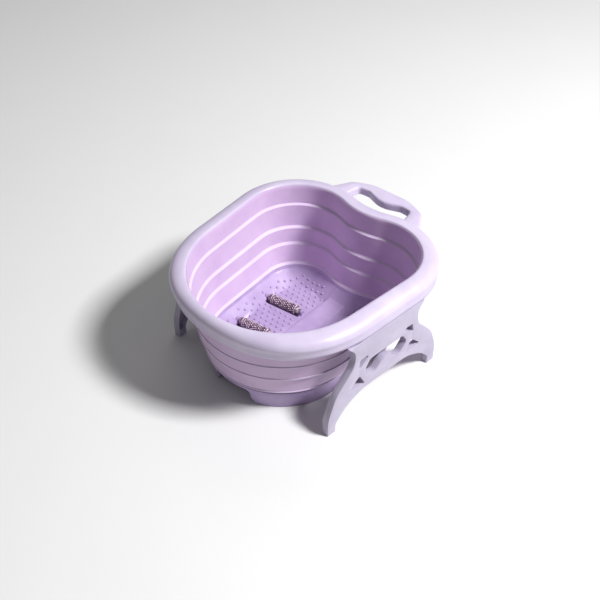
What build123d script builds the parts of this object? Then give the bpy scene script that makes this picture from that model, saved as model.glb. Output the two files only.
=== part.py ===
from build123d import *
from math import acos, atan2, cos, hypot, pi, sin, tan
import os

# Collapsible foot bath. Millimetres, +Z up, +Y towards the carrying handle.
# The origin is on the floor, under the middle of the bath's overall length and width.

# ---- driving dimensions -------------------------------------------------------------
RIM_TOP = 200.0            # crest of the rim above the floor
WALL = 2.4                 # soft wall thickness
SHELL = 3.0                # rigid moulding thickness

# Plan of the rim's inner crest: a front arc, straight sides, two rear corner arcs, a rear dent.
CREST_FRONT_Y, CREST_FRONT_R = -60.0, 157.0
CREST_CORNER_X, CREST_CORNER_Y, CREST_CORNER_R = 75.0, 57.0, 95.0
CREST_DENT_Y = 139.0

# Plan of the rim's outermost edge, made of the same arcs.
EDGE_FRONT_Y, EDGE_FRONT_R = -45.6, 189.4
EDGE_CORNER_R = 124.0
EDGE_DENT_Y = 170.0
LIP_TUCK = 3.0             # the lip sits this much farther in than the edge at the front

DRIFT = 0.17               # the plan shrinks towards the front centre by this share of its inset

# Soft wall: top and bottom heights, and insets of the inner surface from the crest.
COLLAR_BOTTOM = 188.0      # the rim's own inner wall ends here
FOLD_HEIGHTS = [160.0, 114.0, 82.0, 44.0]
BAND_TOP_INSETS = [0.0, 6.0, 13.0, 19.0]
BAND_BOTTOM_INSETS = [1.5, 8.5, 14.5, 24.5]
FOLD_HALF = 2.0            # half of a fold ring's height

# Base pan: inner and outer profiles of the dish as (height, inset), floor upwards.
FLOOR_TOP, FLOOR_UNDER = 16.0, 13.2
BASE_TOP_INSET = 29.0
DISH_INSIDE = [(FLOOR_TOP, 57.0), (36.0, 31.0)]
DISH_OUTSIDE = [(FLOOR_UNDER, 56.0), (33.9, 29.4)]

# Four hollow feet hang from the dish, as a thick ring with gaps in it.
FEET_TOP, FEET_TOP_INSET, FEET_TOP_INNER_INSET = 39.0, 26.2, 42.0
FOOT_OUTER_INSET, FOOT_INNER_INSET = 34.0, 52.0
PAD_HEIGHT = 1.8           # soft pads that close the feet underneath
GAP_TOP, GAP_FLARE = 34.0, 10.0
FRONT_GAP, REAR_GAP, SIDE_GAP = 76.0, 60.0, 96.0
RIDGE_TOP, RIDGE_HALF_TOP, RIDGE_HALF_FOOT = 24.0, 18.0, 23.0

# Massage rollers.
ROLLER_R, ROLLER_NECK_R = 9.0, 6.4
ROLLER_LENGTH, ROLLER_NECK = 72.0, 6.5
ROLLER_Z = 20.5
AXLE_R, RUNNING_GAP = 2.0, 0.08
POST_THICK, POST_GAP = 5.0, 0.6
ROLLER_TURN = 7.0          # the rollers toe in with the feet, degrees
WELL_BOTTOM, WELL_FLOOR, WELL_TOP = 5.5, 8.5, 24.0
ROLLERS = {"front_left": (-68.0, -62.5), "rear_left": (-71.5, 18.5),
           "front_right": (68.0, -62.5), "rear_right": (71.5, 18.5)}

# Leg frames.
LEG_DEPTH = 12.3
LEG_MIDDLE = -27.0         # Y of the middle of each leg frame
LEG_TOP = 164.2
LEG_HALF = 129.5           # half of the leg frame's length along the side
FOOT_WIDTH = 17.0
HINGE_Z, HINGE_IN = 154.0, 9.0
KNUCKLE_X, KNUCKLE_LENGTH, KNUCKLE_R = 50.0, 22.0, 5.5
EAR_THICK, EAR_R, EAR_GAP = 5.0, 4.5, 0.5
HOLE_WALL = 2.5
SOLID_FOOT = 14.0          # height of the solid block at the bottom of each foot
EAR_POCKET = 68.0          # half length of the open top that clears the rim's ears

# Handle.
HANDLE_BACK = 235.0
HANDLE_TOP, HANDLE_BOTTOM = 189.0, 174.0

os.makedirs("parts", exist_ok=True)


# ---- plan curves --------------------------------------------------------------------
def side_lean(front_y, front_r, corner_x, corner_y, corner_r):
    """Angle of the straight side's outward normal, from +X."""
    run = hypot(corner_x, corner_y - front_y)
    return atan2(corner_y - front_y, corner_x) - acos((front_r - corner_r) / run)


EDGE_LEAN = side_lean(EDGE_FRONT_Y, EDGE_FRONT_R, CREST_CORNER_X, CREST_CORNER_Y, EDGE_CORNER_R)


def plan(front_y, front_r, corner_x, corner_y, corner_r, dent_y):
    """The basin's closed plan: arcs tangent to each other and to two straight sides."""
    lean = side_lean(front_y, front_r, corner_x, corner_y, corner_r)
    rise = dent_y - corner_y
    dent_r = (corner_x**2 + rise**2 - corner_r**2) / (2 * (corner_r - rise))
    dent_centre = dent_y + dent_r
    share = corner_r / (corner_r + dent_r)
    side_front = (front_r * cos(lean), front_y + front_r * sin(lean))
    side_back = (corner_x + corner_r * cos(lean), corner_y + corner_r * sin(lean))
    middle = (lean + atan2(dent_centre - corner_y, -corner_x)) / 2
    corner = (corner_x + corner_r * cos(middle), corner_y + corner_r * sin(middle))
    dent_end = (corner_x * (1 - share), corner_y + (dent_centre - corner_y) * share)

    def left(point):
        return (-point[0], point[1])

    edges = [
        ThreePointArc(left(side_front), (0, front_y - front_r), side_front),
        Line(side_front, side_back),
        ThreePointArc(side_back, corner, dent_end),
        ThreePointArc(dent_end, (0, dent_y), left(dent_end)),
        ThreePointArc(left(dent_end), left(corner), left(side_back)),
        Line(left(side_back), left(side_front)),
    ]
    return make_face(Wire(edges))


def wall_plan(inset):
    """Plan of the soft wall or base, this far inside the rim's crest."""
    drift = DRIFT * inset
    return plan(CREST_FRONT_Y - drift, CREST_FRONT_R - inset, CREST_CORNER_X - drift,
                CREST_CORNER_Y - drift, CREST_CORNER_R - inset, CREST_DENT_Y - inset - drift)


def rim_plan(spread, inset=0.0, tuck=0.0):
    """Plan between the rim's crest (spread 0) and its outermost edge (spread 1)."""
    def between(crest, edge):
        return crest + spread * (edge - crest)

    front_r = between(CREST_FRONT_R, EDGE_FRONT_R) - inset - tuck * sin(EDGE_LEAN)
    return plan(between(CREST_FRONT_Y, EDGE_FRONT_Y) + tuck, front_r,
                CREST_CORNER_X, CREST_CORNER_Y,
                between(CREST_CORNER_R, EDGE_CORNER_R) - inset,
                between(CREST_DENT_Y, EDGE_DENT_Y) - inset)


def stack(*sections):
    """Solid ruled through plans at rising heights, given as (height, face)."""
    return loft([Pos(0, 0, height) * face for height, face in sections], ruled=True)


def prism(face, low, high):
    return Pos(0, 0, low) * extrude(face, high - low)


def rounded(*corners):
    """Closed face through straight edges, each corner given as (x, y, radius)."""
    points = [(x, y) for x, y, radius in corners]
    return make_face(FilletPolyline(*points, radius=[c[2] for c in corners], close=True))


def box(low, high):
    """Axis-aligned box from its low corner to its high corner."""
    size = [b - a for a, b in zip(low, high)]
    return Pos(*low) * Box(*size, align=(Align.MIN, Align.MIN, Align.MIN))


def rod(start, end, radius):
    """Round bar between two points."""
    axis = Vector(*end) - Vector(*start)
    return Plane(origin=start, z_dir=axis) * Cylinder(
        radius, axis.length, align=(Align.CENTER, Align.CENTER, Align.MIN))


def write(name, solid, label=None):
    solid.label = label or name
    export_step(solid, f"parts/{name}.step")


# ---- leg frame position -------------------------------------------------------------
leg_along = (-sin(EDGE_LEAN), cos(EDGE_LEAN), 0)
leg_out = (cos(EDGE_LEAN), sin(EDGE_LEAN), 0)
leg_x = (EDGE_FRONT_R - (LEG_MIDDLE - EDGE_FRONT_Y) * sin(EDGE_LEAN)) / cos(EDGE_LEAN)
LEG_PLANE = Plane(origin=(leg_x, LEG_MIDDLE, 0), x_dir=leg_along, z_dir=leg_out)


def on_leg(shape):
    """Take a shape from the right leg's own frame: X along it, Y up, Z outwards."""
    return LEG_PLANE.location * shape


def to_left(shape):
    return mirror(shape, about=Plane.YZ)


# ---- rim and handle -----------------------------------------------------------------
def make_handle():
    """Loop behind the rim: an inverted channel that follows the hand."""
    outline = rounded((-116, 150, 0), (-96, 186, 40), (-78, 218, 26), (-40, HANDLE_BACK, 70),
                      (40, HANDLE_BACK, 70), (78, 218, 26), (96, 186, 40), (116, 150, 0))
    grip = rounded((-61, 183, 9), (-57, 210, 9), (-36, 212, 14), (0, 198, 60), (36, 212, 14),
                   (57, 210, 9), (61, 183, 9), (0, 170, 120))
    band = prism(outline, HANDLE_BOTTOM, HANDLE_TOP) - prism(grip, HANDLE_BOTTOM, HANDLE_TOP)
    hollow = prism(offset(outline, -SHELL), HANDLE_BOTTOM, HANDLE_TOP - SHELL)
    hollow -= prism(offset(grip, SHELL), HANDLE_BOTTOM, HANDLE_TOP - SHELL)
    return band - hollow


def make_rim():
    """Rolled rim: an inverted channel with hinge ears inside it and the handle behind it."""
    skin = [(165.0, 0.97, LIP_TUCK), (184.0, 1.0, 0), (189.0, 0.95, 0), (193.5, 0.82, 0),
            (197.3, 0.58, 0), (199.4, 0.3, 0), (RIM_TOP, 0.1, 0)]
    outer = stack(*[(z, rim_plan(spread, 0, tuck)) for z, spread, tuck in skin])
    core = stack(*[(z - (0 if z < 185 else SHELL), rim_plan(spread, SHELL, tuck))
                   for z, spread, tuck in skin])
    channel = core - prism(wall_plan(-SHELL), 150, RIM_TOP)
    handle = make_handle() - prism(rim_plan(0.98, SHELL / 2), 150, RIM_TOP)
    rim = outer + handle
    rim -= channel
    rim -= prism(wall_plan(0), 150, RIM_TOP + 1)
    rim -= prism(wall_plan(-SHELL - 0.2), 150, COLLAR_BOTTOM)
    for side in (False, True):
        for x in (-KNUCKLE_X, KNUCKLE_X):
            for end in (-1, 1):
                middle = x + end * (KNUCKLE_LENGTH / 2 + EAR_GAP + EAR_THICK / 2)
                ear = make_ear(middle)
                rim += to_left(ear) if side else ear
    return rim


def make_ear(middle):
    """Ear that hangs from the rim's channel and holds one end of a hinge pin."""
    low, high = middle - EAR_THICK / 2, middle + EAR_THICK / 2
    hang = box((low, HINGE_Z, -HINGE_IN - EAR_R), (high, 191, -HINGE_IN + EAR_R))
    gusset = box((low, 167, -HINGE_IN), (high, 190, 0))
    nose = rod((low, HINGE_Z, -HINGE_IN), (high, HINGE_Z, -HINGE_IN), EAR_R)
    pin = rod((low - 1, HINGE_Z, -HINGE_IN), (high + 1, HINGE_Z, -HINGE_IN), AXLE_R)
    return on_leg(hang + gusset + nose - pin) & prism(rim_plan(0.97, 1.5), 140, RIM_TOP)


def make_hinge_pin(x):
    """Pin through one knuckle and its two ears, with a small head."""
    reach = KNUCKLE_LENGTH / 2 + EAR_GAP + EAR_THICK
    start, end = x - reach, x + reach
    pin = rod((start, HINGE_Z, -HINGE_IN), (end, HINGE_Z, -HINGE_IN), AXLE_R)
    head = rod((start - 1.5, HINGE_Z, -HINGE_IN), (start, HINGE_Z, -HINGE_IN), 3.2)
    return on_leg(pin + head)


# ---- soft wall ----------------------------------------------------------------------
def make_band(index):
    """One rigid-looking step of the soft wall, slightly tapered."""
    top = COLLAR_BOTTOM if index == 0 else FOLD_HEIGHTS[index - 1] - FOLD_HALF
    bottom = FOLD_HEIGHTS[index] + FOLD_HALF
    high, low = BAND_TOP_INSETS[index], BAND_BOTTOM_INSETS[index]
    outer = stack((bottom, wall_plan(low - WALL)), (top, wall_plan(high - WALL)))
    inner = stack((bottom, wall_plan(low)), (top, wall_plan(high)))
    return outer - inner


def make_fold(index):
    """Sloped ledge that joins one step to the next and folds when the bath collapses."""
    low, high = FOLD_HEIGHTS[index] - FOLD_HALF, FOLD_HEIGHTS[index] + FOLD_HALF
    above, below = BAND_BOTTOM_INSETS[index], [*BAND_TOP_INSETS, BASE_TOP_INSET][index + 1]
    outer = stack((low, wall_plan(below - WALL)), (high, wall_plan(above - WALL)))
    inner = stack((low, wall_plan(below)), (high, wall_plan(above)))
    return outer - inner


# ---- base pan -----------------------------------------------------------------------
def roller_place(name):
    """Place of a roller: X along its axle, at its centre."""
    x, y = ROLLERS[name]
    turn = ROLLER_TURN if x < 0 else -ROLLER_TURN
    return Pos(x, y, 0) * Rot(0, 0, turn)


def feet_gaps(wall=0.0):
    """Gaps between the feet at the front, the rear and both sides, flared at the floor."""
    def gap(width, depth):
        half = width / 2 + wall
        outline = rounded((-half - GAP_FLARE, -5, 0), (-half, 12, 10), (-half, GAP_TOP, 9),
                          (half, GAP_TOP, 9), (half, 12, 10), (half + GAP_FLARE, -5, 0))
        return extrude(Plane.XZ * outline, depth / 2, both=True)

    front = Pos(0, -200, 0) * gap(FRONT_GAP, 180)
    rear = Pos(0, 110, 0) * gap(REAR_GAP, 140)
    sides = Pos(0, -12, 0) * Rot(0, 0, 90) * gap(SIDE_GAP, 320)
    return front + rear + sides


def feet_block(wall=0.0):
    """The four feet as blocks, this much thinner than their outside."""
    low = PAD_HEIGHT - wall
    outside = stack((low, wall_plan(FOOT_OUTER_INSET + wall)),
                    (FEET_TOP, wall_plan(FEET_TOP_INSET + wall)))
    inside = stack((low, wall_plan(FOOT_INNER_INSET - wall)),
                   (FEET_TOP, wall_plan(FEET_TOP_INNER_INSET - wall)))
    return outside - inside - feet_gaps(wall)


def make_pads():
    """Pads that close the four feet underneath."""
    ring = wall_plan(FOOT_OUTER_INSET) - wall_plan(FOOT_INNER_INSET)
    return prism(ring, 0, PAD_HEIGHT) - feet_gaps()


def ridge_bar(inset, foot_z, top_z):
    """Long bar with the ridge's section, this much thinner than its outside."""
    half_foot, half_top = RIDGE_HALF_FOOT - inset, RIDGE_HALF_TOP - inset
    section = make_face(Polyline((-half_foot, foot_z), (-half_top, top_z), (half_top, top_z),
                                 (half_foot, foot_z), close=True))
    return extrude(Plane.XZ * section, 300, both=True)


def make_base():
    """Rigid pan: a dish with a central ridge, roller wells and four hanging feet."""
    top = FOLD_HEIGHTS[-1] - FOLD_HALF
    shell = stack(*[(z, wall_plan(inset)) for z, inset in DISH_OUTSIDE],
                  (top, wall_plan(BASE_TOP_INSET - WALL)))
    bowl = stack(*[(z, wall_plan(inset)) for z, inset in DISH_INSIDE],
                 (top, wall_plan(BASE_TOP_INSET)))
    base = shell + (feet_block() - (feet_block(SHELL) - shell))
    for name in ROLLERS:
        base += roller_place(name) * well_tub()
    base -= bowl - ridge_bar(0, FLOOR_TOP, RIDGE_TOP)
    floor = prism(wall_plan(DISH_INSIDE[0][1] + SHELL), 0, RIDGE_TOP)
    base -= ridge_bar(SHELL, FLOOR_UNDER, RIDGE_TOP - SHELL) & floor
    for name in ROLLERS:
        base = finish_well(base, roller_place(name))
    return base


def well_tub():
    """Block under a roller that its well is sunk into."""
    outside = ROLLER_LENGTH / 2 + POST_GAP + POST_THICK
    half = ROLLER_R + 2.0 + SHELL - 0.5
    return box((-outside, -half, WELL_BOTTOM), (outside, half, WELL_TOP))


def finish_well(base, place):
    """Sink a roller's well and add a post at each end that holds its axle."""
    reach = ROLLER_LENGTH / 2 + POST_GAP
    outside = reach + POST_THICK
    half = ROLLER_R + 2.0
    base -= place * box((-reach, -half, WELL_FLOOR), (reach, half, RIM_TOP))
    for end in (-1, 1):
        inner, outer = sorted((end * reach, end * outside))
        post = box((inner, -5, FLOOR_UNDER), (outer, 5, ROLLER_Z))
        post += rod((inner, 0, ROLLER_Z), (outer, 0, ROLLER_Z), 5.0)
        base += place * post
    return base - place * rod((-outside, 0, ROLLER_Z), (outside, 0, ROLLER_Z), AXLE_R)


def make_roller(place):
    """Massage roller: a ribbed barrel with stepped ends, bored for its axle."""
    half = ROLLER_LENGTH / 2
    barrel = rod((-half + ROLLER_NECK, 0, ROLLER_Z), (half - ROLLER_NECK, 0, ROLLER_Z), ROLLER_R)
    barrel = fillet(barrel.edges(), 1.2)
    necks = rod((-half, 0, ROLLER_Z), (half, 0, ROLLER_Z), ROLLER_NECK_R)
    bore = rod((-half, 0, ROLLER_Z), (half, 0, ROLLER_Z), AXLE_R + RUNNING_GAP)
    return place * (barrel + necks - bore)


def make_axle(place):
    """Steel rod from post to post."""
    reach = ROLLER_LENGTH / 2 + POST_GAP + POST_THICK
    return place * rod((-reach, 0, ROLLER_Z), (reach, 0, ROLLER_Z), AXLE_R)


# ---- leg frame ----------------------------------------------------------------------
def leg_holes():
    """The frame's openings, in the leg's own plan."""
    upper = rounded((-38, 127, 3), (-61, 127, 3), (-66, 105, 3))
    lower = rounded((-61.5, 92, 3), (-86, 69, 3), (-47, 66.5, 3))
    centre = rounded((-50, 97, 9), (-38, 115, 9), (38, 115, 9), (50, 97, 9),
                     (30, 74, 11), (0, 101, 20), (-30, 74, 11))
    return [upper, lower, centre, mirror(upper, about=Plane.YZ), mirror(lower, about=Plane.YZ)]


def leg_outline():
    """The frame's outer shape: two splayed feet, an arch between them, flared shoulders."""
    foot = LEG_HALF - FOOT_WIDTH
    left = [(-55, 57.5, 70), (-92, 40, 60), (-foot, 18, 14), (-foot, 0, 0),
            (-LEG_HALF, 0, 0), (-LEG_HALF, 36, 80), (-114, 78, 60), (-73, 122, 40),
            (-73, 150, 20), (-86, LEG_TOP, 0)]
    right = [(-x, y, radius) for x, y, radius in reversed(left)]
    return rounded(*left, *right)


def make_leg():
    """Truss-like channel: a flat outer web with a flange round every edge and opening."""
    outline = leg_outline()
    holes = leg_holes()
    web = outline
    pocket = offset(outline, -HOLE_WALL)
    for hole in holes:
        web -= hole
        pocket -= offset(hole, HOLE_WALL)
    pocket -= Pos(0, SOLID_FOOT / 2) * Rectangle(2 * LEG_HALF, SOLID_FOOT)
    leg = extrude(web, -LEG_DEPTH)
    leg -= Pos(0, 0, -LEG_DEPTH) * extrude(pocket, LEG_DEPTH - HOLE_WALL)
    leg -= box((-EAR_POCKET, 141, -LEG_DEPTH), (EAR_POCKET, LEG_TOP, -HOLE_WALL))
    for x in (-KNUCKLE_X, KNUCKLE_X):
        low, high = x - KNUCKLE_LENGTH / 2, x + KNUCKLE_LENGTH / 2
        knuckle = rod((low, HINGE_Z, -HINGE_IN), (high, HINGE_Z, -HINGE_IN), KNUCKLE_R)
        knuckle += box((low, HINGE_Z - KNUCKLE_R, -HINGE_IN), (high, HINGE_Z + KNUCKLE_R, -1))
        bore = rod((low, HINGE_Z, -HINGE_IN), (high, HINGE_Z, -HINGE_IN), AXLE_R + RUNNING_GAP)
        leg += knuckle
        leg -= bore
    return on_leg(leg)


# ---- write every piece --------------------------------------------------------------
write("rim", make_rim())

for index, name in enumerate(["wall_band_top", "wall_band_upper", "wall_band_lower",
                              "wall_band_bottom"]):
    write(name, make_band(index))
    write(f"fold_ring_{index + 1}", make_fold(index))

write("base_pan", make_base())

for pad in make_pads().solids():
    centre = pad.center()
    end = "front" if centre.Y < 0 else "rear"
    side = "left" if centre.X < 0 else "right"
    write(f"foot_pad_{end}_{side}", pad)

for name in ROLLERS:
    write(f"roller_{name}", make_roller(roller_place(name)))
    write(f"roller_axle_{name}", make_axle(roller_place(name)))

leg = make_leg()
write("leg_frame_right", leg)
write("leg_frame_left", to_left(leg))

for x, end in ((-KNUCKLE_X, "front"), (KNUCKLE_X, "rear")):
    pin = make_hinge_pin(x)
    write(f"hinge_pin_{end}_right", pin)
    write(f"hinge_pin_{end}_left", to_left(pin))
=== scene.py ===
import bmesh
import bpy
from math import acos, atan2, cos, hypot, pi, radians, sin
from mathutils import Matrix, Vector


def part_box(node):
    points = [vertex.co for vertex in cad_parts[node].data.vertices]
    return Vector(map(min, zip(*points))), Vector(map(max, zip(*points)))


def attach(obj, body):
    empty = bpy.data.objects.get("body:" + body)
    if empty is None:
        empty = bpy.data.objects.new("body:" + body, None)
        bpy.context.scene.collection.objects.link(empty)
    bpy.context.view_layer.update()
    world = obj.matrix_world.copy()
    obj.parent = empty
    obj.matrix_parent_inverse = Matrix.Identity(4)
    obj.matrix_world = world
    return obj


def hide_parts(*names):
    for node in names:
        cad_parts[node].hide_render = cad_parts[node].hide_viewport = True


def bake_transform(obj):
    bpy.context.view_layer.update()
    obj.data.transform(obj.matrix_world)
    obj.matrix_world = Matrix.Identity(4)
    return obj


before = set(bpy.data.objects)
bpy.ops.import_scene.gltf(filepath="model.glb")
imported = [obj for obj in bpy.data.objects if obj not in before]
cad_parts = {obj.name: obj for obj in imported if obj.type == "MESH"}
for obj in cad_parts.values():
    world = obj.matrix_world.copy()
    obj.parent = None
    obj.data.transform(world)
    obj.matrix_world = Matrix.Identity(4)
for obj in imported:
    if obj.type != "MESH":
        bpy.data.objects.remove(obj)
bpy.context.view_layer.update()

# ---- Base pan ------------------------------------------------------------------------
# The rigid floor of the bath: a moulded dish with a ridge between the two foot wells, a
# sunken well under each roller and four hanging feet. Polypropylene, injection moulded,
# with its edges broken by the mould.
MM = 0.001


class Value:
    """One output of a node, with arithmetic that adds Math nodes."""

    def __init__(self, finish, socket):
        self.finish, self.socket = finish, socket

    def joined(self, operation, first, second):
        return self.finish.node("Math", {"operation": operation}, {0: first, 1: second})

    def __add__(self, other):
        return self.joined("ADD", self, other)

    def __mul__(self, other):
        return self.joined("MULTIPLY", self, other)

    __radd__, __rmul__ = __add__, __mul__


class Finish:
    """A material made of nodes, with one method that adds any of them."""

    def __init__(self, name, **constants):
        self.material = bpy.data.materials.new(name)
        self.material.use_nodes = True
        self.nodes = self.material.node_tree.nodes
        self.links = self.material.node_tree.links
        self.shader = self.nodes["Principled BSDF"]
        for socket, value in constants.items():
            self.shader.inputs[socket.replace("_", " ")].default_value = value
        self.place = self.node("TexCoord", out="Object")

    def node(self, kind, settings=None, inputs=None, out=0):
        made = self.nodes.new("ShaderNode" + kind)
        for key, value in (settings or {}).items():
            setattr(made, key, value)
        for key, value in (inputs or {}).items():
            if isinstance(value, Value):
                self.links.new(value.socket, made.inputs[key])
            else:
                made.inputs[key].default_value = value
        return Value(self, made.outputs[out])

    def feed(self, socket, value):
        self.links.new(value.socket, self.shader.inputs[socket])

    def noise(self, scale, detail=3.0, vector=None):
        return self.node("TexNoise", None, {"Vector": vector or self.place, "Scale": scale,
                                            "Detail": detail}, "Fac")

    def mix(self, factor, first, second):
        return self.node("Mix", {"data_type": "RGBA"}, {0: factor, 6: first, 7: second}, 2)

    def span(self, value, low, high, to_low=0.0, to_high=1.0):
        """Map a value's range on to another, clamped."""
        return self.node("MapRange", None, {0: value, 1: low, 2: high, 3: to_low, 4: to_high})

    def bump(self, height, distance):
        self.feed("Normal", self.node("Bump", None, {"Height": height, "Distance": distance,
                                                     "Strength": 1.0}, "Normal"))


def srgb(red, green, blue):
    """Linear colour from 0-255 display values."""
    def linear(level):
        share = level / 255
        return share / 12.92 if share <= 0.04045 else ((share + 0.055) / 1.055) ** 2.4
    return (linear(red), linear(green), linear(blue), 1.0)


def moulded_plastic(name, light, dark, roughness=0.38, grain=900.0, grain_height=0.00003):
    """Satin moulded plastic: flow marks in the tone, fine mould grain and rubbed patches."""
    finish = Finish(name, Specular_IOR_Level=0.45)
    flow = finish.noise(14.0, 4.0)
    cloud = finish.noise(55.0, 3.0)
    tone = finish.span(flow * 0.7 + cloud * 0.3, 0.38, 0.62)
    finish.feed("Base Color", finish.mix(tone, dark, light))
    rubbed = finish.noise(38.0, 5.0)
    finish.feed("Roughness", finish.span(rubbed, 0.35, 0.7, roughness - 0.06, roughness + 0.12))
    pebble = finish.noise(grain, 2.0)
    ripple = finish.noise(120.0, 2.0)
    finish.bump(pebble + ripple * 0.6, grain_height)
    return finish.material


def softened(node, name, body, width, segments=2):
    """Merged copy of a CAD piece whose hard edges are broken by the mould's radius."""
    shape = bmesh.new()
    shape.from_mesh(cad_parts[node].data)
    bmesh.ops.remove_doubles(shape, verts=shape.verts, dist=0.01 * MM)
    bmesh.ops.dissolve_limit(shape, angle_limit=radians(0.6), verts=shape.verts,
                             edges=shape.edges)
    piece = finished(shape, name, body)
    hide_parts(node)
    mould_radius(piece, width, segments, 32)
    return piece


def mould_radius(piece, width, segments=2, sharper_than=40):
    """Round every edge that turns by more than this many degrees."""
    bevel = piece.modifiers.new("mould_radius", "BEVEL")
    bevel.width, bevel.segments, bevel.harden_normals = width, segments, True
    bevel.limit_method, bevel.angle_limit = "ANGLE", radians(sharper_than)


def finished(shape, name, body):
    """Turn a bmesh into a smooth piece that rides on a body."""
    mesh = bpy.data.meshes.new(name)
    for face in shape.faces:
        face.smooth = True
    shape.to_mesh(mesh)
    shape.free()
    piece = bpy.data.objects.new(name, mesh)
    bpy.context.scene.collection.objects.link(piece)
    if body:
        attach(piece, body)
    return piece


pan_finish = moulded_plastic("pan_plastic", srgb(172, 152, 191), srgb(158, 138, 179), 0.36)
pan = softened("base_pan", "pan_dish", "base", 0.7 * MM)
pan.data.materials.append(pan_finish)

# ---- Massage nubs --------------------------------------------------------------------
# Rounded nubs that stand up from the floor of both foot wells to massage the sole. They
# are moulded in one with the pan, in staggered rows.
CREST_FRONT_Y, CREST_FRONT_R = -60.0, 157.0
CREST_CORNER_X, CREST_CORNER_Y, CREST_CORNER_R = 75.0, 57.0, 95.0
CREST_DENT_Y = 139.0
DRIFT = 0.17
FLOOR_TOP = 16.0
NUB_PITCH, NUB_R, NUB_HEIGHT, NUB_SINK = 12.5, 2.8, 2.2, 0.8
NUB_ROW_PITCH = NUB_PITCH * 0.866
RIDGE_CLEAR, ROLLER_CLEAR_ALONG, ROLLER_CLEAR_ACROSS = 27.5, 45.5, 14.5
ROLLERS = {"front_left": (-68.0, -62.5), "rear_left": (-71.5, 18.5),
           "front_right": (68.0, -62.5), "rear_right": (71.5, 18.5)}
ROLLER_TURN = 7.0


def plan_ring(front_y, front_r, corner_x, corner_y, corner_r, dent_y):
    """Points round the bath's plan, always as many and in the same order, in millimetres."""
    run = hypot(corner_x, corner_y - front_y)
    lean = atan2(corner_y - front_y, corner_x) - acos((front_r - corner_r) / run)
    rise = dent_y - corner_y
    dent_r = (corner_x**2 + rise**2 - corner_r**2) / (2 * (corner_r - rise))
    dent_centre = dent_y + dent_r
    turn = atan2(dent_centre - corner_y, -corner_x)

    def arc(centre_x, centre_y, radius, start, end, steps):
        angles = [start + (end - start) * step / steps for step in range(steps)]
        return [(centre_x + radius * cos(a), centre_y + radius * sin(a)) for a in angles]

    side_back = (corner_x + corner_r * cos(lean), corner_y + corner_r * sin(lean))
    half = arc(0, front_y, front_r, -pi / 2, lean, 40)
    side_front = (front_r * cos(lean), front_y + front_r * sin(lean))
    half += [tuple(a + (b - a) * step / 12 for a, b in zip(side_front, side_back))
             for step in range(12)]
    half += arc(corner_x, corner_y, corner_r, lean, turn, 36)
    half += arc(0, dent_centre, dent_r, turn - pi, -pi / 2, 14)
    return half + [(0, dent_y)] + [(-x, y) for x, y in reversed(half[1:])]


def wall_ring(inset):
    """Plan this far inside the rim's crest."""
    drift = DRIFT * inset
    return plan_ring(CREST_FRONT_Y - drift, CREST_FRONT_R - inset, CREST_CORNER_X - drift,
                     CREST_CORNER_Y - drift, CREST_CORNER_R - inset,
                     CREST_DENT_Y - inset - drift)


def inside(point, ring):
    """Whether a point is inside a closed ring of points."""
    crossings = 0
    for (x1, y1), (x2, y2) in zip(ring, ring[1:] + ring[:1]):
        if (y1 > point[1]) != (y2 > point[1]):
            crossings += point[0] < x1 + (point[1] - y1) * (x2 - x1) / (y2 - y1)
    return crossings % 2 == 1


def clear_of_wells(x, y):
    """Whether a nub here misses the ridge, the rollers and their posts."""
    if abs(x) < RIDGE_CLEAR:
        return False
    for centre_x, centre_y in ROLLERS.values():
        turn = radians(ROLLER_TURN if centre_x < 0 else -ROLLER_TURN)
        along = (x - centre_x) * cos(turn) + (y - centre_y) * sin(turn)
        across = (y - centre_y) * cos(turn) - (x - centre_x) * sin(turn)
        if abs(along) < ROLLER_CLEAR_ALONG and abs(across) < ROLLER_CLEAR_ACROSS:
            return False
    return True


DISH_TOP, DISH_TOP_INSET, DISH_FOOT_INSET = 36.0, 31.0, 57.0
NUB_RINGS = [(float(inset), wall_ring(inset)) for inset in range(39, 59)]
nubs = bmesh.new()
for row in range(-16, 10):
    for column in range(-12, 13):
        x = (column + 0.5 * (row % 2)) * NUB_PITCH
        y = row * NUB_ROW_PITCH
        if inside((x, y), NUB_RINGS[0][1]) and clear_of_wells(x, y):
            inset = next(inset for inset, ring in reversed(NUB_RINGS) if inside((x, y), ring))
            climb = (DISH_TOP - FLOOR_TOP) / (DISH_FOOT_INSET - DISH_TOP_INSET)
            height = FLOOR_TOP + max(0.0, DISH_FOOT_INSET - inset - NUB_SINK) * climb
            place = Matrix.Translation(Vector((x, y, height)) * MM)
            squash = Matrix.Diagonal((NUB_R * MM, NUB_R * MM, NUB_HEIGHT * MM, 1))
            bmesh.ops.create_uvsphere(nubs, u_segments=10, v_segments=6, radius=1,
                                      matrix=place @ squash)
nub_field = finished(nubs, "floor_nubs", "base")
nub_field.data.materials.append(pan_finish)

# ---- Foot pads -----------------------------------------------------------------------
# Thin pads of soft rubber under the pan's four feet, over-moulded so that the bath does
# not slide on a wet floor.
rubber = moulded_plastic("pad_rubber", srgb(160, 140, 180), srgb(146, 126, 168), 0.62, 1400.0,
                         0.00005)
for end in ("front", "rear"):
    for side in ("left", "right"):
        pad = softened(f"foot_pad_{end}_{side}", f"pad_{end}_{side}", "base", 0.35 * MM)
        pad.data.materials.append(rubber)

# ---- Massage rollers -----------------------------------------------------------------
# Four loose rollers on steel rods. Each is a moulded barrel covered in blunt studs, with a
# flange and a stepped neck at each end, in mauve plastic with a dark mottle.
ROLLER_Z = 20.5
BARREL_R, STUD_TOP_R, FLANGE_R, NECK_R, HUB_R, BORE_R = 7.7, 9.0, 8.8, 5.8, 4.6, 2.15
BARREL_HALF, FLANGE_HALF, NECK_HALF, ROLLER_HALF = 25.0, 27.0, 34.5, 36.0
STUDS_ROUND, STUD_RINGS = 12, 12
STUD_LENGTH, STUD_WIDTH, STUD_SINK = 1.75, 1.55, 0.2


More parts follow.
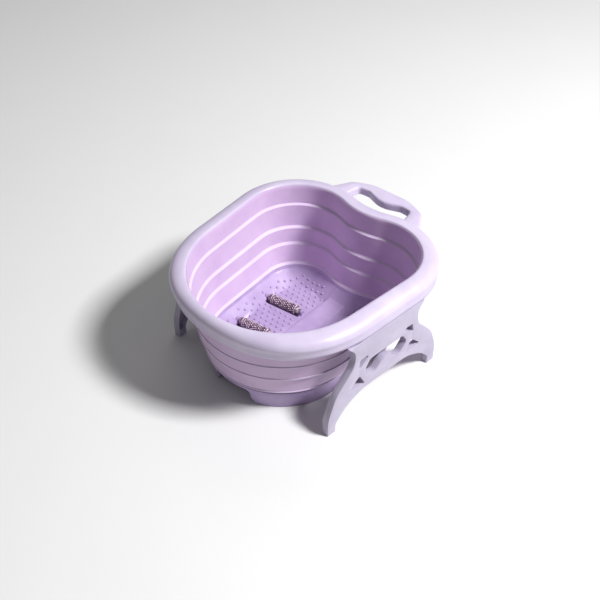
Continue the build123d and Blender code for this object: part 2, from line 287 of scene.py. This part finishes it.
def lathe(shape, profile, steps=36):
    """Turn a profile of (along, radius) about the X axis into a closed solid."""
    verts = [shape.verts.new((along * MM, 0, radius * MM)) for along, radius in profile]
    edges = [shape.edges.new(pair) for pair in zip(verts, verts[1:] + verts[:1])]
    bmesh.ops.spin(shape, geom=verts + edges, cent=(0, 0, 0), axis=(1, 0, 0),
                   angle=2 * pi, steps=steps, use_merge=True)
    bmesh.ops.remove_doubles(shape, verts=shape.verts, dist=0.001 * MM)
    bmesh.ops.recalc_face_normals(shape, faces=shape.faces)


def roller_plastic(name, centre, turn):
    """Mauve plastic, mottled all over, with painted shade: dark down between the studs, light on
    their tops.
    """
    finish = Finish(name, Specular_IOR_Level=0.5)
    local = finish.node("Mapping", {"vector_type": "TEXTURE"},
                        {"Vector": finish.place, "Location": centre,
                         "Rotation": (0, 0, turn)})
    parts = finish.node("SeparateXYZ", None, {0: local}, "Y")
    height = Value(finish, parts.socket.node.outputs["Z"])
    from_middle = finish.node("Math", {"operation": "ABSOLUTE"},
                              {0: Value(finish, parts.socket.node.outputs["X"])})
    end = finish.span(from_middle, FLANGE_HALF * MM, (FLANGE_HALF + 0.2) * MM, 0.0, 0.45)
    radius = finish.node("Math", {"operation": "SQRT"}, {0: parts * parts + height * height})
    # Painted shade: the barrel between the studs takes the dark colour, grading to the light
    # colour on the stud tops; the flanges and necks take a middle tone.
    proud = finish.span(radius, (BARREL_R + 0.1) * MM, (STUD_TOP_R - 0.3) * MM)
    mottle = finish.span(finish.noise(240.0, 4.0, local), 0.5, 0.56)
    colour = finish.mix(finish.node("Math", {"operation": "MAXIMUM"}, {0: proud, 1: end}),
                        srgb(96, 72, 94), srgb(224, 202, 214))
    colour = finish.mix(mottle * 0.85, colour, srgb(48, 30, 48))
    finish.feed("Base Color", colour)
    finish.feed("Roughness", finish.span(mottle, 0, 1, 0.42, 0.62))
    finish.bump(finish.noise(900.0, 2.0, local), 0.00006)
    return finish.material


for name, (centre_x, centre_y) in ROLLERS.items():
    turn = radians(ROLLER_TURN if centre_x < 0 else -ROLLER_TURN)
    shape = bmesh.new()
    lathe(shape, [(-ROLLER_HALF, BORE_R), (-ROLLER_HALF, HUB_R - 0.4),
                  (-ROLLER_HALF + 0.4, HUB_R), (-NECK_HALF, HUB_R), (-NECK_HALF, NECK_R - 0.4),
                  (-NECK_HALF + 0.4, NECK_R), (-FLANGE_HALF, NECK_R),
                  (-FLANGE_HALF, FLANGE_R - 0.4), (-FLANGE_HALF + 0.4, FLANGE_R),
                  (-BARREL_HALF, FLANGE_R),
                  (-BARREL_HALF + 0.5, BARREL_R), (BARREL_HALF - 0.5, BARREL_R),
                  (BARREL_HALF, FLANGE_R), (FLANGE_HALF - 0.4, FLANGE_R),
                  (FLANGE_HALF, FLANGE_R - 0.4), (FLANGE_HALF, NECK_R), (NECK_HALF - 0.4, NECK_R),
                  (NECK_HALF, NECK_R - 0.4), (NECK_HALF, HUB_R), (ROLLER_HALF - 0.4, HUB_R),
                  (ROLLER_HALF, HUB_R - 0.4), (ROLLER_HALF, BORE_R)])
    stud_size = Vector((STUD_LENGTH, STUD_WIDTH, STUD_TOP_R - BARREL_R + STUD_SINK)) * MM
    for ring in range(STUD_RINGS):
        along = (ring + 0.5) / STUD_RINGS * 2 * (BARREL_HALF - 1.0) - (BARREL_HALF - 1.0)
        for stud in range(STUDS_ROUND):
            angle = 2 * pi * (stud + 0.5 * (ring % 2)) / STUDS_ROUND
            place = (Matrix.Rotation(angle, 4, "X")
                     @ Matrix.Translation(Vector((along, 0, BARREL_R - STUD_SINK)) * MM)
                     @ Matrix.Diagonal((*stud_size, 1)))
            bmesh.ops.create_uvsphere(shape, u_segments=8, v_segments=5, radius=1, matrix=place)
    centre = Vector((centre_x, centre_y, ROLLER_Z)) * MM
    bmesh.ops.transform(shape, verts=shape.verts,
                        matrix=Matrix.Translation(centre) @ Matrix.Rotation(turn, 4, "Z"))
    roller = finished(shape, f"studded_roller_{name}", f"roller_{name}")
    roller.data.materials.append(roller_plastic(f"roller_plastic_{name}", centre, turn))
    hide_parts(f"roller_{name}")

# ---- Roller rods ---------------------------------------------------------------------
# Drawn stainless rods, pressed into the posts at both ends of each roller.


def drawn_steel(name):
    """Stainless wire with fine drawing lines and a little tarnish."""
    finish = Finish(name, Metallic=1.0)
    tarnish = finish.span(finish.noise(160.0, 4.0), 0.4, 0.65)
    finish.feed("Base Color", finish.mix(tarnish, srgb(206, 206, 210), srgb(168, 166, 172)))
    finish.feed("Roughness", finish.span(finish.noise(700.0, 2.0), 0.3, 0.7, 0.22, 0.42))
    finish.bump(finish.noise(1500.0, 2.0), 0.00001)
    return finish.material


steel = drawn_steel("drawn_steel")
for name in ROLLERS:
    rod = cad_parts[f"roller_axle_{name}"]
    rod.data.materials.clear()
    rod.data.materials.append(steel)

# ---- Soft wall -----------------------------------------------------------------------
# Four stepped hoops of soft thermoplastic rubber, over-moulded on the pan and the rim.
# Each hoop tapers, and a thinner ledge between them folds when the bath collapses.
WALL = 2.4
BAND_TOP_INSETS = [0.0, 6.0, 13.0, 19.0]
BAND_BOTTOM_INSETS = [1.5, 8.5, 14.5, 24.5]
BASE_TOP_INSET = 29.0
BANDS = ["wall_band_top", "wall_band_upper", "wall_band_lower", "wall_band_bottom"]
BODIES = ["rim", "upper_band", "lower_band", "bottom_band", "base"]
BEAD, TIGHT, LINER_TOP = 1.7, 0.3, 197.4


def swept(loops):
    """Extrude a closed loop of edges through loops of as many points."""
    shape = bmesh.new()
    verts = [shape.verts.new(point) for point in loops[0]]
    edges = [shape.edges.new(pair) for pair in zip(verts, verts[1:] + verts[:1])]
    for points in loops[1:]:
        grown = bmesh.ops.extrude_edge_only(shape, edges=edges)["geom"]
        edges = [item for item in grown if isinstance(item, bmesh.types.BMEdge)
                 and len(item.link_faces) == 1]
        # The new verts keep the order of the edges that they grew from.
        fresh = [item for item in grown if isinstance(item, bmesh.types.BMVert)]
        for vert, point in zip(fresh, points):
            vert.co = point
    return shape


def hoop(rings):
    """Sweep round the bath's plan through rings of (height, points), and close the section."""
    shape = swept([[(x * MM, y * MM, height * MM) for x, y in points]
                   for height, points in rings + rings[:1]])
    bmesh.ops.remove_doubles(shape, verts=shape.verts, dist=0.001 * MM)
    bmesh.ops.recalc_face_normals(shape, faces=shape.faces)
    return shape


def eased(start, end, steps):
    """Values from start to end that leave and arrive slowly."""
    shares = [step / steps for step in range(steps + 1)]
    return [start + (end - start) * s * s * (3 - 2 * s) for s in shares]


def soft_rubber(name, light, dark):
    """Matt thermoplastic rubber: fine bloom, faint flow lines and a soft sheen."""
    finish = Finish(name, Sheen_Weight=0.15, Sheen_Roughness=0.5, Specular_IOR_Level=0.35)
    bloom = finish.span(finish.noise(22.0, 5.0), 0.36, 0.64)
    speck = finish.span(finish.noise(300.0, 2.0), 0.35, 0.65)
    finish.feed("Base Color", finish.mix(bloom * 0.75 + speck * 0.25, dark, light))
    finish.feed("Roughness", finish.span(finish.noise(45.0, 4.0), 0.35, 0.65, 0.46, 0.62))
    finish.bump(finish.noise(1100.0, 2.0) + finish.noise(160.0, 2.0) * 0.8, 0.00003)
    return finish.material


band_rubber = soft_rubber("wall_rubber", srgb(205, 181, 213), srgb(196, 170, 206))
# Painted highlight: the fold rubber is a shade lighter and greyer than the hoops' rubber, so the
# folds and beads show as light lines.
fold_rubber_painted_highlight = soft_rubber("fold_rubber_painted_highlight", srgb(207, 190, 217), srgb(199, 180, 210))
for index, node in enumerate(BANDS):
    low, high = (corner[2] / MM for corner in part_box(node))
    top_inset, bottom_inset = BAND_TOP_INSETS[index], BAND_BOTTOM_INSETS[index]
    slope = (bottom_inset - top_inset) / (high - low)

    def wall_at(height, proud=0.0):
        return height, wall_ring(top_inset + (high - height) * slope - proud)

    outer = [wall_at(height, WALL) for height in (low, low + TIGHT, (low + high) / 2,
                                                  high - TIGHT, high)]
    inner = []
    if not index:
        outer.append(wall_at(high, -0.05))
        liner = [(LINER_TOP - 0.3, -0.05), (LINER_TOP, -0.2), (LINER_TOP, -0.45),
                 (LINER_TOP - 0.3, -0.6)]
        inner = [(height, wall_ring(-proud)) for height, proud in liner]
    inner += [wall_at(height, -0.6 if not index else 0.0)
              for height in (high, high - TIGHT, (low + high) / 2, low + TIGHT, low)]
    band = finished(hoop(outer + inner), f"hoop_{node[10:]}", BODIES[index])
    band.data.materials.append(band_rubber)
    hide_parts(node)
    # A thick bead round the foot of the hoop keeps it in shape where the ledge folds.
    section = [(low + BEAD * (1 + sin(pi * step / 6)), WALL + BEAD * cos(pi * step / 6))
               for step in range(12)]
    bead = finished(hoop([wall_at(height, proud) for height, proud in section]),
                    f"bead_{node[10:]}", BODIES[index])
    # Painted highlight: the bead takes the lighter fold rubber.
    bead.data.materials.append(fold_rubber_painted_highlight)

for index in range(4):
    node = f"fold_ring_{index + 1}"
    low, high = (corner[2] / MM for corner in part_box(node))
    above = BAND_BOTTOM_INSETS[index]
    below = [*BAND_TOP_INSETS, BASE_TOP_INSET][index + 1]
    heights = [high + (low - high) * step / 12 for step in range(13)]
    insets = eased(above, below, 12)
    inner = [(height, wall_ring(inset)) for height, inset in zip(heights, insets)]
    outer = [(height, wall_ring(inset - WALL)) for height, inset in zip(heights, insets)]
    fold = finished(hoop(inner + outer[::-1]), f"fold_{index + 1}", None)
    fold.data.materials.append(fold_rubber_painted_highlight)
    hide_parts(node)
    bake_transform(fold)

# ---- Rim -----------------------------------------------------------------------------
# The rolled rim, an inverted channel of rigid plastic that people grip. Its lip turns
# inwards at the front. It is one moulding with the handle and the hinge ears.
EDGE_FRONT_Y, EDGE_FRONT_R = -45.6, 189.4
EDGE_CORNER_R, EDGE_DENT_Y = 124.0, 170.0
RIM_TOP, SHELL, LIP_TUCK, LIP_DROP = 200.0, 3.0, 5.5, 3.0
COLLAR_BOTTOM = 188.0
SIDE_LEAN = -0.0907
FRONT_SWELL = 7.0


def rim_ring(spread, inset=0.0, tuck=0.0):
    """Plan between the rim's crest, at spread 0, and its outermost edge, at spread 1."""
    def between(crest, edge):
        return crest + spread * (edge - crest)

    ring = plan_ring(between(CREST_FRONT_Y, EDGE_FRONT_Y) + tuck,
                     between(CREST_FRONT_R, EDGE_FRONT_R) - inset - tuck * SIDE_LEAN,
                     CREST_CORNER_X, CREST_CORNER_Y,
                     between(CREST_CORNER_R, EDGE_CORNER_R) - inset,
                     between(CREST_DENT_Y, EDGE_DENT_Y) - inset)
    fuller = []
    for x, y in ring:
        angle = atan2(y - EDGE_FRONT_Y, abs(x))
        swell = FRONT_SWELL * spread * max(0.0, sin(-2 * angle)) ** 2 if angle < 0 else 0.0
        fuller.append((x + swell * cos(angle) * (1 if x > 0 else -1), y + swell * sin(angle)))
    return fuller


ROLL_LOW = 184.0
skin = [(165.0, 0.955, LIP_TUCK), (165.4, 0.97, LIP_TUCK), (170.0, 0.975, LIP_TUCK * 0.95),
        (174.0, 0.98, LIP_TUCK * 0.85), (178.0, 0.985, LIP_TUCK * 0.62),
        (181.0, 0.992, LIP_TUCK * 0.3)]
for step in range(13):
    angle = pi / 2 * step / 12
    skin.append((ROLL_LOW + (RIM_TOP - ROLL_LOW) * sin(angle) ** 0.92,
                 0.14 + 0.86 * cos(angle) ** 0.86, 0.0))
skin += [(199.75, 0.085, 0.0), (199.1, 0.04, 0.0), (198.0, 0.012, 0.0), (196.4, 0.0, 0.0),
         (192.0, 0.0, 0.0), (COLLAR_BOTTOM + 0.3, 0.0, 0.0), (COLLAR_BOTTOM, 0.0, 0.0)]
under = [(COLLAR_BOTTOM, wall_ring(-SHELL)), (COLLAR_BOTTOM + 0.3, wall_ring(-SHELL)),
         (195.0, wall_ring(-SHELL))]
for height, spread, tuck in reversed(skin[:16]):
    drop = SHELL * max(0.0, (height - ROLL_LOW) / (RIM_TOP - ROLL_LOW))
    under.append((height - drop, rim_ring(spread, SHELL, tuck)))
rim_shape = hoop([(z, rim_ring(spread, 0, tuck)) for z, spread, tuck in skin] + under)
for vert in rim_shape.verts:
    # The lip hangs lower at the front, clear of the leg frames at the sides.
    front = max(0.0, -vert.co.y / hypot(vert.co.x, vert.co.y) - 0.72) / 0.28
    low = max(0.0, ROLL_LOW * MM - vert.co.z) / (ROLL_LOW - 165.0)
    vert.co.z -= LIP_DROP * low * front * (2 - front)
rim = finished(rim_shape, "rolled_rim", "rim")
rim_plastic = moulded_plastic("rim_plastic", srgb(194, 184, 207), srgb(186, 175, 201), 0.34)
rim.data.materials.append(rim_plastic)
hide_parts("rim")

# ---- Handle --------------------------------------------------------------------------
# The carrying loop behind the rim, a channel open underneath whose inner edge is waved
# for the fingers. It is moulded in one with the rim.
HANDLE_TOP, HANDLE_BOTTOM = 189.0, 174.0
HANDLE_STEPS = 72


def bent_path(corners, count):
    """Evenly spaced points along straight runs joined by arcs, from (x, y, radius) corners."""
    trail = [Vector(corners[0][:2])]
    for before, corner, after in zip(corners, corners[1:], corners[2:]):
        here = Vector(corner[:2])
        back, ahead = Vector(before[:2]) - here, Vector(after[:2]) - here
        half = back.angle(ahead) / 2
        reach = corner[2] / (sin(half) / cos(half))
        reach = min(reach, back.length * 0.499, ahead.length * 0.499)
        start, end = here + back.normalized() * reach, here + ahead.normalized() * reach
        for step in range(13):
            share = step / 12
            trail.append(start * (1 - share) ** 2 + here * 2 * share * (1 - share)
                         + end * share**2)
    trail.append(Vector(corners[-1][:2]))
    lengths = [0.0]
    for a, b in zip(trail, trail[1:]):
        lengths.append(lengths[-1] + (b - a).length)
    spaced = []
    for step in range(count + 1):
        target, index = lengths[-1] * step / count, 0
        while index < len(lengths) - 2 and lengths[index + 1] < target:
            index += 1
        run = max(lengths[index + 1] - lengths[index], 1e-9)
        spaced.append(trail[index].lerp(trail[index + 1], (target - lengths[index]) / run))
    return spaced


outside = bent_path([(-115, 153, 0), (-96, 186, 40), (-78, 218, 26), (-40, 235, 70),
                     (0, 235, 200), (40, 235, 70), (78, 218, 26), (96, 186, 40), (115, 153, 0)],
                    HANDLE_STEPS)
inside_edge = bent_path([(-72, 161, 0), (-64, 173, 12), (-61, 190, 12), (-57, 210, 9),
                         (-36, 212, 14), (0, 198, 60), (36, 212, 14), (57, 210, 9),
                         (61, 190, 12), (64, 173, 12), (72, 161, 0)], HANDLE_STEPS)
section = [(0.0, HANDLE_BOTTOM), (0.0, 184.0), (0.6, 186.6), (2.2, 188.3), (4.6, HANDLE_TOP),
           (-4.6, HANDLE_TOP), (-2.2, 188.3), (-0.6, 186.6), (0.0001, 184.0),
           (0.0001, HANDLE_BOTTOM), (-SHELL, HANDLE_BOTTOM), (-SHELL, 186.0),
           (SHELL, 186.0), (SHELL, HANDLE_BOTTOM)]
OUTER_SIDE = {5, 6, 7, 8, 9, 10, 11}


def handle_section(step):
    """The handle's section at one step, from its inner edge to its outer edge."""
    inner, outer = inside_edge[step], outside[step]
    across = (outer - inner).normalized()
    points = []
    for number, (offset, height) in enumerate(section):
        edge = outer if number in OUTER_SIDE else inner
        spot = edge + across * offset
        points.append(Vector((spot.x, spot.y, height)) * MM)
    return points


shape = swept([handle_section(step) for step in range(HANDLE_STEPS + 1)])
bmesh.ops.holes_fill(shape, edges=[edge for edge in shape.edges if edge.is_boundary])
bmesh.ops.recalc_face_normals(shape, faces=shape.faces)
handle = finished(shape, "carrying_handle", "rim")
handle.data.materials.append(rim_plastic)
mould_radius(handle, 0.6 * MM)

# ---- Hinge ears ----------------------------------------------------------------------
# Pairs of ears that hang inside the rim's channel at both sides and hold the hinge pins of
# the leg frames. They are ribs of the rim's own moulding.
LEG_MIDDLE, KNUCKLE_X, KNUCKLE_LENGTH, EAR_GAP, EAR_THICK = -27.0, 50.0, 22.0, 0.5, 5.0
HINGE_Z, HINGE_IN = 154.0, 9.0
LEG_X = 191.873
ALONG, OUT = Vector((0.090563, 0.995891, 0)), Vector((0.995891, -0.090563, 0))

shape = bmesh.new()
for mirrored in (1, -1):
    for middle in (-KNUCKLE_X, KNUCKLE_X):
        for end in (-1, 1):
            where = middle + end * (KNUCKLE_LENGTH / 2 + EAR_GAP + EAR_THICK / 2)
            profile = [(-4.5, 0), (-3.9, -2.3), (-2.3, -3.9), (0, -4.5), (2.3, -3.9),
                       (3.9, -2.3), (4.5, 0), (4.5, 34), (-4.5, 34)]
            ear = []
            for outward, up in profile:
                spot = (Vector((LEG_X, LEG_MIDDLE, 0)) + ALONG * (where - EAR_THICK / 2)
                        + OUT * (outward - HINGE_IN))
                ear.append(shape.verts.new(Vector((spot.x * mirrored, spot.y,
                                                   HINGE_Z + up)) * MM))
            face = shape.faces.new(ear)
            grown = bmesh.ops.extrude_face_region(shape, geom=[face])["geom"]
            push = Vector((ALONG.x * mirrored, ALONG.y, 0)) * EAR_THICK * MM
            bmesh.ops.translate(shape, vec=push, verts=[item for item in grown
                                                        if isinstance(item, bmesh.types.BMVert)])
bmesh.ops.recalc_face_normals(shape, faces=shape.faces)
ears = finished(shape, "hinge_ears", "rim")
ears.data.materials.append(rim_plastic)
mould_radius(ears, 0.4 * MM)

# ---- Hinge pins ----------------------------------------------------------------------
# Short steel pins with a small head, through the ears and the knuckles of the leg frames.
for end in ("front", "rear"):
    for side in ("left", "right"):
        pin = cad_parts[f"hinge_pin_{end}_{side}"]
        pin.data.materials.clear()
        pin.data.materials.append(steel)

# ---- Leg frames ----------------------------------------------------------------------
# Truss-like legs that hold the rim up at both sides: a flat outer web with a flange round
# every edge and opening. Rigid plastic, hinged under the rim, folded inwards for storage.
leg_plastic = moulded_plastic("leg_plastic", srgb(174, 167, 186), srgb(164, 157, 178), 0.36)
for side in ("left", "right"):
    leg = softened(f"leg_frame_{side}", f"truss_leg_{side}", f"leg_{side}", 0.8 * MM, 3)
    leg.data.materials.append(leg_plastic)

# ---- Floor, light and camera ---------------------------------------------------------
# A plain pale floor, a large soft light high on the right, a weak fill and the viewpoint.
bpy.ops.mesh.primitive_plane_add(size=8, location=(0, 0, 0))
ground = bpy.context.object
ground.name = "ground"
ground_finish = Finish("ground_paint", Roughness=0.9)
ground_finish.feed("Base Color", ground_finish.mix(ground_finish.noise(6.0), (0.68,) * 3 + (1,),
                                                   (0.70,) * 3 + (1,)))
ground.data.materials.append(ground_finish.material)


def soft_light(name, place, aim, size, power):
    light = bpy.data.lights.new(name, "AREA")
    light.energy, light.size = power, size
    lamp = bpy.data.objects.new(name, light)
    lamp.location = place
    lamp.rotation_euler = (Vector(aim) - Vector(place)).to_track_quat("-Z", "Y").to_euler()
    bpy.context.scene.collection.objects.link(lamp)


soft_light("key_light", (2.1, 0.8, 2.7), (0, 0, 0.1), 0.65, 185)
soft_light("top_light", (-1.2, 1.2, 2.4), (-0.3, 0.3, 0), 1.6, 9)
world = bpy.data.worlds.new("studio")
bpy.context.scene.world = world
world.use_nodes = True
world.node_tree.nodes["Background"].inputs["Color"].default_value = (1, 1, 1, 1)
world.node_tree.nodes["Background"].inputs["Strength"].default_value = 0.2
bpy.context.scene.view_settings.view_transform = "Standard"

AZIMUTH, ELEVATION = radians(41.46), radians(41.49)
TARGET, DISTANCE = Vector((0.05831, -0.08526, 0.17556)), 1.40715
back = Vector((sin(AZIMUTH) * cos(ELEVATION), -cos(AZIMUTH) * cos(ELEVATION), sin(ELEVATION)))
camera = bpy.data.cameras.new("camera")
camera.sensor_width, camera.lens = 36, 53.17
viewpoint = bpy.data.objects.new("camera", camera)
viewpoint.location = TARGET + back * DISTANCE
viewpoint.rotation_euler = (-back).to_track_quat("-Z", "Y").to_euler()
bpy.context.scene.collection.objects.link(viewpoint)
bpy.context.scene.camera = viewpoint
